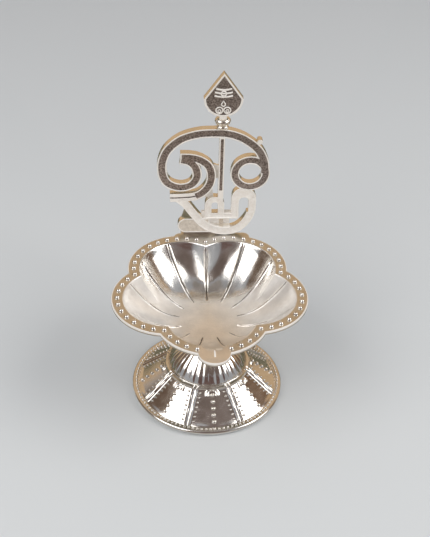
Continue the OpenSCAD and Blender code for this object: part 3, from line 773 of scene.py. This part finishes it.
class Section:
    """Upright section through the bowl at one angle."""

    def __init__(self, angle):
        from_spout = abs(angle - SPOUT_ANGLE)
        at_spout = smooth_step(SPOUT_HALF_TURN, SPOUT_HALF_TURN - SPOUT_BLEND_TURN, from_spout)
        self.angle = angle
        self.in_spout = from_spout < SPOUT_HALF_TURN
        self.inner = petal_edge(angle, PETAL_R - RIM_W)
        self.outer = rim_edge(angle)
        on_ledge = ledge_edge(angle, *DEEP_LEDGE) >= self.outer - CLOSE
        self.thick = LEDGE_T if on_ledge else RIM_T
        self.inner_round = RIM_INNER_ROUND + SPOUT_INNER_ROUND * at_spout
        self.wall_end = math.sqrt(1 - self.inner_round / BOWL_DEPTH)

    def point(self, radius, z):
        return polar(self.angle, radius, z)

    def wall(self, run, share):
        """Radius, height and normal of the smooth wall, a parabola, at a share of its way up."""
        t = share * self.wall_end
        normal = Vector((-2 * BOWL_DEPTH * t, run)).normalized()
        return BOWL_FLOOR_R + run * t, BOWL_FLOOR_Z + BOWL_DEPTH * t * t, normal

    def inside(self, share):
        """Point on the inside of the wall, which starts round and opens into petals."""
        run = self.inner - BOWL_FLOOR_R
        run = MEAN_WALL_RUN + (run - MEAN_WALL_RUN) * smooth_step(*PETAL_FADE, share)
        radius, z, normal = self.wall(run, share)
        lift = bowl_relief(self.angle, radius, share)
        return grooved(self.point(radius + normal.x * lift, z + normal.y * lift))

    def outside(self, share):
        radius, z, normal = self.wall(self.inner - BOWL_FLOOR_R, share)
        return self.point(radius - normal.x * BOWL_WALL, z - normal.y * BOWL_WALL)

    def inner_edge(self, share):
        """Point on the round between the wall and the flat rim."""
        start = BOWL_FLOOR_R + (self.inner - BOWL_FLOOR_R) * self.wall_end
        end = self.inner + self.inner_round
        radius = (1 - share) ** 2 * start + 2 * share * (1 - share) * self.inner + share**2 * end
        low = RIM_Z - self.inner_round
        z = (1 - share) ** 2 * low + (1 - (1 - share) ** 2) * RIM_Z
        return grooved(self.point(radius, z))

    def rim_top(self, share):
        start = self.inner + self.inner_round
        end = self.outer - RIM_CORNER_STEPS[0][0]
        return grooved(self.point(start + (end - start) * share, RIM_Z))


def bowl_angles():
    """Even steps from the rear rib, and a close pair at each corner of the ledges."""
    left, right, rear, corner = LEDGE
    deep_left, deep_right, deep_rear, deep_corner = DEEP_LEDGE
    corners = [(x, y) for x in (deep_left, deep_right) for y in (rear, deep_rear - deep_corner)]
    corners += [(x, rear - corner) for x in (left, right)]
    angles = [(90.0 + 360.0 * i / BOWL_COLUMNS) % 360.0 for i in range(BOWL_COLUMNS)]
    for x, y in corners:
        angle = math.degrees(math.atan2(y, x))
        angles += [angle - CORNER_NUDGE, angle + CORNER_NUDGE]
    return sorted(angles)


def wall_finish(section, p):
    """Frosted wall with painted shade and dark reflection along the core of each rib."""
    across = math.radians(from_nearest_rib(section.angle + HALF_COLUMN)) * p.xy.length
    return RIB_SHADE if abs(across) < RIB_SHADE_W / 2 else BOWL_FINISH


def rim_finish(section, p):
    """Plated rim; the spout is frosted like the bowl, with a painted highlight on the ridge in its
    groove.
    """
    if not section.in_spout:
        return RIM_FINISH
    on_mark = abs(p.x) < WICK_MARK_HALF_W and WICK_MARK_Y[0] < p.y < WICK_MARK_Y[1]
    return PAINTED_HIGHLIGHT if on_mark else BOWL_FINISH


def bowl_body():
    """Floor, wall, rim and edge from the middle outwards, and back down the outside to the neck."""
    sections = [Section(angle) for angle in bowl_angles()]
    rings = []
    strips = []

    def add(points, finish):
        """Adds a ring and the finish of the faces from there to the next ring, or what picks it."""
        rings.append(points)
        strips.append(finish)

    add([Vector((0, 0, BOWL_FLOOR_Z))], BOWL_FINISH)
    add([s.point(BOWL_FLOOR_R / 2, BOWL_FLOOR_Z) for s in sections], BOWL_FINISH)
    for k in range(WALL_ROWS + 1):
        finish = wall_finish if 0 < k < WALL_ROWS else BOWL_FINISH
        add([s.inside(k / WALL_ROWS) for s in sections], finish)
    for k in range(1, INNER_ROUND_STEPS):
        finish = rim_finish if k == INNER_ROUND_STEPS - 1 else BOWL_FINISH
        add([s.inner_edge(k / INNER_ROUND_STEPS) for s in sections], finish)
    # The last strip of the rim top and its outer corner carry the painted highlight
    for k in range(RIM_STEPS + 1):
        finish = rim_finish if k < RIM_STEPS else PAINTED_HIGHLIGHT
        add([s.rim_top(k / RIM_STEPS) for s in sections], finish)
    for inward, down in RIM_CORNER_STEPS[1:]:
        add([s.point(s.outer - inward, RIM_Z - down) for s in sections], PAINTED_HIGHLIGHT)
    add([s.point(s.outer, RIM_Z - RIM_LIP_H) for s in sections], BRIGHT)
    for inward, up in reversed(RIM_CORNER_STEPS):
        add([s.point(s.outer - inward, RIM_Z - s.thick + up) for s in sections], BRIGHT)
    add([s.point(s.inner + BOWL_WALL + RIM_UNDER_REACH, RIM_Z - s.thick) for s in sections], BRIGHT)
    for k in range(WALL_ROWS - OUTSIDE_ROWS_LEFT_OUT, -1, -OUTSIDE_ROW_STEP):
        add([s.outside(k / WALL_ROWS) for s in sections], BRIGHT)
    for k in range(NECK_STEPS + 1):
        turn = math.radians(90.0 * k / NECK_STEPS)
        radius = NECK_R + NECK_FILLET * (1 - math.sin(turn))
        z = BOWL_UNDER_Z - NECK_FILLET * (1 - math.cos(turn))
        add([s.point(radius, z) for s in sections], BRIGHT)
    add([s.point(NECK_R, KNOP_TOP) for s in sections], BRIGHT)
    add([Vector((0, 0, KNOP_TOP))], BRIGHT)

    def slot_of(k, i):
        finish = strips[k]
        if callable(finish):
            finish = finish(sections[i], rings[k][i])
        return BOWL_FINISHES.index(finish)

    bm = bmesh.new()
    add_rings(bm, rings, slot_of)
    piece = finish_mesh("bowl_body", bm, BOWL_FINISHES)
    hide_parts("bowl")


def rim_beads():
    """Row of beads along the rim that leaves the spout bare."""
    bm = bmesh.new()
    for i in range(PETALS * BEADS_PER_PETAL):
        angle = 90.0 + PETAL_STEP / BEADS_PER_PETAL * i
        p = polar(angle, petal_edge(angle, PETAL_R - RIM_BEAD_INSET), RIM_Z)
        if p.y > 0 or abs(p.x) > SPOUT_BARE_SHARE * SPOUT_R:
            add_bead(bm, p, RIM_BEAD_R, LARGE_BEAD)
    piece = finish_mesh("rim_beads", bm, [BRIGHT])


# Crest


def break_front_edges(bm):
    """Bevels the sharp outer edges of the front faces."""
    front = CREST_FRONT_Y * MM
    edges = []
    for edge in bm.edges:
        if len(edge.link_faces) != 2 or edge.calc_face_angle() < math.radians(CREST_CORNER_ANGLE):
            continue
        if all(abs(v.co.y - front) < ON_FACE * MM for v in edge.verts) and edge.is_convex:
            edges.append(edge)
    bmesh.ops.bevel(bm, geom=edges, offset=CREST_BEVEL * MM, segments=2, profile=0.5, affect="EDGES",
                    clamp_overlap=False)


def crest_finish(normal, middle):
    """Finish, painted shade or painted highlight of a face of the crest from the way it faces and where
    its middle lies.
    """
    # The bevels along the front edges carry the painted highlight
    if normal.y < PARTLY_FRONTWARD and abs(middle.y - CREST_FRONT_Y) < CREST_BEVEL + ON_FACE:
        return PAINTED_HIGHLIGHT
    if normal.y > FRONTWARD:
        in_pocket = POCKET_X[0] < middle.x < POCKET_X[1] and POCKET_Z[0] < middle.z < POCKET_Z[1]
        return LOWER_FINISH if in_pocket else CREST_FINISH
    if abs(middle.y - SUNK_Y) < ON_FACE and middle.z > DARK_FACES_ABOVE:
        return SUNK_FINISH
    if abs(middle.y - LOWER_SUNK_Y) < ON_FACE:
        # Faces sunk on the lower crest; those on the foot tab are painted darker as shade
        on_tab = middle.x < TAB_RIGHT_X and middle.z < TAB_TOP_Z
        return TAB_SHADE if on_tab else LOWER_FINISH
    if abs(middle.y - WEB_Y) < ON_FACE:
        # The web left of the leg is painted dark as shade
        return GUSSET_SHADE if middle.x < GUSSET_RIGHT_X else LOWER_FINISH
    return CREST_FINISH


def crest_openwork():
    """The crest's own solid, cleaned of flat seams and with its front edges broken."""
    bm = bmesh.new()
    bm.from_mesh(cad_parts["crest"].data)
    bmesh.ops.remove_doubles(bm, verts=bm.verts, dist=CREST_WELD * MM)
    bmesh.ops.dissolve_degenerate(bm, edges=bm.edges, dist=CREST_WELD * MM)
    bmesh.ops.recalc_face_normals(bm, faces=bm.faces)
    seam_angle = math.radians(CREST_SEAM_ANGLE)
    bmesh.ops.dissolve_limit(bm, angle_limit=seam_angle, verts=bm.verts, edges=bm.edges)
    break_front_edges(bm)
    for face in bm.faces:
        finish = crest_finish(face.normal, face.calc_center_median() / MM)
        face.material_index = CREST_FINISHES.index(finish)
    piece = finish_mesh("crest_openwork", bm, CREST_FINISHES, sharp_angle=30.0, flat_across_y=True)
    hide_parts("crest")


def head_point(aside, up, forward=0.0):
    """Point on the spear head, forward of the plane of its engraving."""
    return Vector((SPEAR_X + aside, ENGRAVING_Y - forward, HEAD_Z + up))


def head_circle(aside, up, radius, forward=0.0, count=24, start=0.0, sweep=360.0):
    """Points on a circle on the spear head, or on an arc of it with both its ends."""
    steps = count if sweep == 360.0 else count + 1
    points = []
    for i in range(steps):
        a = math.radians(start + sweep * i / count)
        points.append(head_point(aside + radius * math.cos(a), up + radius * math.sin(a), forward))
    return points


def spear_engraving():
    """Raised stripes, a ringed dot, a small drop and two scrolls on the spear head."""
    bm = bmesh.new()
    for up, reach in STRIPES:
        stripe = []
        for k in range(STRIPE_STEPS + 1):
            share = 2 * k / STRIPE_STEPS - 1
            stripe.append(head_point(reach * share, up + STRIPE_BOW * share**2))
        add_tube(bm, stripe, STRIPE_WIRE_R)
    add_tube(bm, head_circle(0.0, DOT_Z, DOT_RING_R, DOT_RING_LIFT), DOT_RING_WIRE_R, closed=True)
    add_bead(bm, head_point(0.0, DOT_Z, DOT_LIFT), DOT_R)
    drop = head_circle(0.0, DROP_Z, DROP_R, start=DROP_START, sweep=DROP_SWEEP)
    drop.append(head_point(0.0, DROP_TIP_Z))
    add_tube(bm, drop, DROP_WIRE_R, closed=True)
    for x in (-SCROLL_X, SCROLL_X):
        add_tube(bm, head_circle(x, SCROLL_Z, SCROLL_R), SCROLL_WIRE_R, closed=True)
        add_tube(bm, head_circle(x, SCROLL_EYE_Z, SCROLL_EYE_R, count=12), SCROLL_EYE_WIRE_R, closed=True)
    # The raised wires carry the painted highlight
    piece = finish_mesh("spear_engraving", bm, [PAINTED_HIGHLIGHT])


# Studio

# Lights
WARM_WHITE = (1.0, 0.98, 0.95)
LIGHT_DISTANCE = 0.8
LIGHT_TARGET = (0.0, 0.0, 0.04)
SKY = (0.93, 0.95, 1.0)
SKY_STRENGTH = 0.4

# Cards that the plating mirrors: distance, and reaches along the floor
CARD_DISTANCE = 1.2
TOP_CARD_DISTANCE = 1.25
CARD_STEPS = 12
FLOOR_CARD_LIFT = 0.0004
FLOOR_NEAR = 0.028
FLOOR_MIDDLE = 0.10
FLOOR_FAR = 1.19
OLIVE = (0.15, 0.14, 0.095)
PALE_TAN = (0.40, 0.36, 0.31)

# Pale floor: its tone to the camera and in mirrors and glass, and the one that tints its soft bounce
FLOOR_SIZE = 4.0
FLOOR_SEEN = (0.68, 0.70, 0.71)
FLOOR_BOUNCE = (0.45, 0.41, 0.35)
FLOOR_ROUGHNESS = 0.8

# Camera: looks down at the lamp from a little left of its front, where its azimuth is counted from
CAMERA_AZIMUTH = -4.28
CAMERA_ELEVATION = 37.17
CAMERA_ROLL = 1.78
CAMERA_DISTANCE = 0.330
CAMERA_TARGET = (0.00169, 0.0, 0.05124)
CAMERA_LENS = 67.6
CAMERA_SENSOR = 36.0
CAMERA_CLIP = (0.01, 20.0)


def at(azimuth, elevation, distance):
    """Place round the lamp: azimuth 0 is to its right, 90 behind it."""
    a, e = math.radians(azimuth), math.radians(elevation)
    return Vector((math.cos(e) * math.cos(a), math.cos(e) * math.sin(a), math.sin(e))) * distance


def between(ends, share):
    return ends[0] + (ends[1] - ends[0]) * share


def softbox(name, azimuth, elevation, width, height, watts, mirrored=True):
    light = bpy.data.lights.new(name, "AREA")
    light.shape = "RECTANGLE"
    light.size = width
    light.size_y = height
    light.energy = watts
    light.color = WARM_WHITE
    lamp = bpy.data.objects.new(name, light)
    lamp.location = at(azimuth, elevation, LIGHT_DISTANCE)
    direction = Vector(LIGHT_TARGET) - lamp.location
    lamp.rotation_euler = direction.to_track_quat("-Z", "Y").to_euler()
    lamp.visible_glossy = mirrored
    bpy.context.scene.collection.objects.link(lamp)


def mirrored_sheet(name, place, colour):
    """Glowing sheet that only the plated surfaces mirror; place gives its points from two shares."""
    shares = [k / CARD_STEPS for k in range(CARD_STEPS + 1)]
    bm = bmesh.new()
    rows = [[bm.verts.new(place(across, up)) for across in shares] for up in shares]
    for k in range(CARD_STEPS):
        for i in range(CARD_STEPS):
            bm.faces.new((rows[k][i], rows[k][i + 1], rows[k + 1][i + 1], rows[k + 1][i]))
    mat = empty_material(name)
    glow = add_node(mat.node_tree, "ShaderNodeEmission", {"Color": (*colour, 1)})
    add_node(mat.node_tree, "ShaderNodeOutputMaterial", {"Surface": glow.outputs["Emission"]})
    sheet = mesh_object(name, bm, [mat])
    sheet.visible_camera = False
    sheet.visible_diffuse = False
    sheet.visible_shadow = False


def card(name, azimuths, elevations, colour, distance=CARD_DISTANCE):
    """Curved card round the lamp."""
    def place(across, up):
        return at(between(azimuths, across), between(elevations, up), distance)

    mirrored_sheet(name, place, colour)


def floor_card(name, azimuths, reaches, colour):
    """Flat card that lies on the floor round the lamp."""
    def place(across, out):
        p = at(between(azimuths, across), 0.0, reaches[0] * (reaches[1] / reaches[0]) ** out)
        p.z = FLOOR_CARD_LIFT
        return p

    mirrored_sheet(name, place, colour)


def floor():
    """Wide floor whose colour depends on what kind of ray meets it."""
    mat = empty_material("floor")
    tree = mat.node_tree
    path = tree.nodes.new("ShaderNodeLightPath")
    seen = path.outputs["Is Camera Ray"]
    for ray in ("Is Glossy Ray", "Is Transmission Ray"):
        seen = calculated(tree, "MAXIMUM", seen, path.outputs[ray])
    colour = mixed(tree, seen, (*FLOOR_BOUNCE, 1), (*FLOOR_SEEN, 1), "RGBA")
    shader = add_node(tree, "ShaderNodeBsdfPrincipled",
                      {"Base Color": colour, "Roughness": FLOOR_ROUGHNESS})
    add_node(tree, "ShaderNodeOutputMaterial", {"Surface": shader.outputs["BSDF"]})
    bm = bmesh.new()
    bmesh.ops.create_grid(bm, x_segments=1, y_segments=1, size=FLOOR_SIZE)
    ground = mesh_object("floor", bm, [mat])


def studio():
    """Soft light from both sides and the front, and cards that stand for a room in the reflections."""
    world = bpy.data.worlds.new("studio")
    world.use_nodes = True
    sky = world.node_tree.nodes["Background"]
    sky.inputs["Color"].default_value = (*SKY, 1)
    sky.inputs["Strength"].default_value = SKY_STRENGTH
    bpy.context.scene.world = world
    softbox("softbox_left", azimuth=-148, elevation=46, width=0.56, height=0.5, watts=2.6)
    softbox("softbox_right", azimuth=-15, elevation=42, width=0.44, height=0.5, watts=2.6)
    softbox("fill_front", azimuth=-93, elevation=18, width=0.5, height=0.4, watts=1.1, mirrored=False)
    card("tan_card", azimuths=(32, 148), elevations=(0, 70), colour=(0.56, 0.40, 0.245))
    card("brown_card_left", azimuths=(150, 192), elevations=(3, 44), colour=(0.15, 0.10, 0.07))
    card("brown_card_right", azimuths=(-8, 20), elevations=(3, 36), colour=(0.17, 0.10, 0.06))
    card("gold_card_right", azimuths=(20, 32), elevations=(3, 45), colour=(0.50, 0.33, 0.18))
    card("grey_card_above", azimuths=(0, 360), elevations=(72, 90), colour=(0.30, 0.27, 0.25),
         distance=TOP_CARD_DISTANCE)
    card("dark_card_front", azimuths=(-124, -38), elevations=(33, 66), colour=(0.165, 0.125, 0.11))
    card("dark_card_low", azimuths=(-118, -62), elevations=(3, 32), colour=(0.14, 0.09, 0.08))
    floor_card("tan_card_low", azimuths=(-182, 2), reaches=(FLOOR_NEAR, FLOOR_FAR), colour=PALE_TAN)
    floor_card("olive_card_behind", azimuths=(4, 176), reaches=(FLOOR_NEAR, FLOOR_MIDDLE), colour=OLIVE)
    floor_card("olive_card_left", azimuths=(112, 176), reaches=(FLOOR_MIDDLE, FLOOR_FAR), colour=OLIVE)
    floor_card("olive_card_right", azimuths=(4, 68), reaches=(FLOOR_MIDDLE, FLOOR_FAR), colour=OLIVE)
    floor()


def camera():
    """Camera on the line from its target backwards, rolled about that line."""
    back = at(CAMERA_AZIMUTH - 90.0, CAMERA_ELEVATION, 1.0)
    right = Vector((0, 0, 1)).cross(back).normalized()
    up = back.cross(right)
    roll = math.radians(CAMERA_ROLL)
    rolled_right = right * math.cos(roll) + up * math.sin(roll)
    rolled_up = up * math.cos(roll) - right * math.sin(roll)
    rotation = Matrix((rolled_right, rolled_up, back)).transposed()
    place = Vector(CAMERA_TARGET) + back * CAMERA_DISTANCE
    data = bpy.data.cameras.new("camera")
    data.sensor_width = CAMERA_SENSOR
    data.lens = CAMERA_LENS
    data.clip_start, data.clip_end = CAMERA_CLIP
    thing = bpy.data.objects.new("camera", data)
    thing.matrix_world = Matrix.Translation(place) @ rotation.to_4x4()
    bpy.context.scene.collection.objects.link(thing)
    bpy.context.scene.camera = thing


def finish_cad_nodes():
    """The plate and the fasteners keep their own solids and get their metal."""
    for node, material in (("base_plate", BRIGHT), ("stem_bolt", STEEL), ("spring_washer", STEEL),
                           ("flat_washer", STEEL), ("crest_screws", STEEL), ("crest_washers", STEEL)):
        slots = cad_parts[node].data.materials
        slots.clear()
        slots.append(material)


camera()
studio()
finish_cad_nodes()
foot_skirt()
foot_beads()
knop_lobes()
bowl_body()
rim_beads()
crest_openwork()
spear_engraving()

bpy.context.scene.view_settings.view_transform = "Standard"
